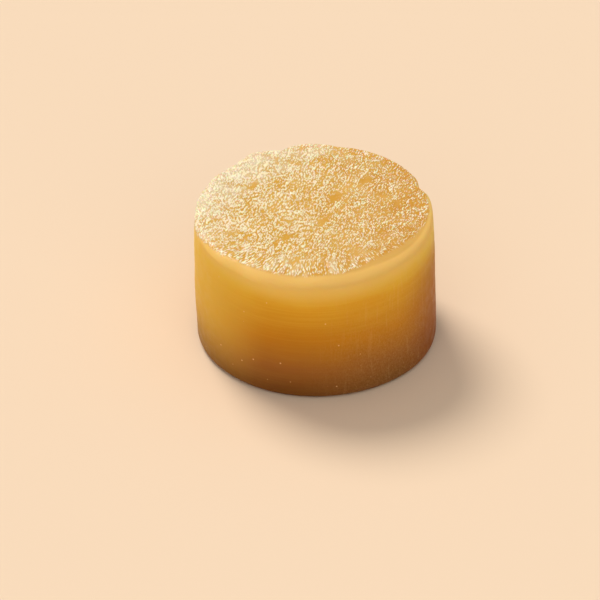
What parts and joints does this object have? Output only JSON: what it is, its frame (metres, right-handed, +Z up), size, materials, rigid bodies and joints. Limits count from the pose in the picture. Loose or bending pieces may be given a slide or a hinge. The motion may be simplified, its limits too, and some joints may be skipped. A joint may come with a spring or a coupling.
{
  "type": "simmered daikon radish",
  "caption": "Thick peeled round of simmered daikon radish: a short amber cylinder with a grainy cut top, a pared rim and a flat cut base that it stands on.",
  "frame": {"origin": "middle of the flat cut base that the round stands on", "axes": "+Z up along the root's length, out of the grainy cut top; -Y towards the viewer; +X to the viewer's right"},
  "size_m": [0.0666, 0.066, 0.0403],
  "materials": {
    "simmered_flesh": "satin"
  },
  "bodies": {
    "root": {"daikon_round": "simmered_flesh"}
  },
  "joints": []
}
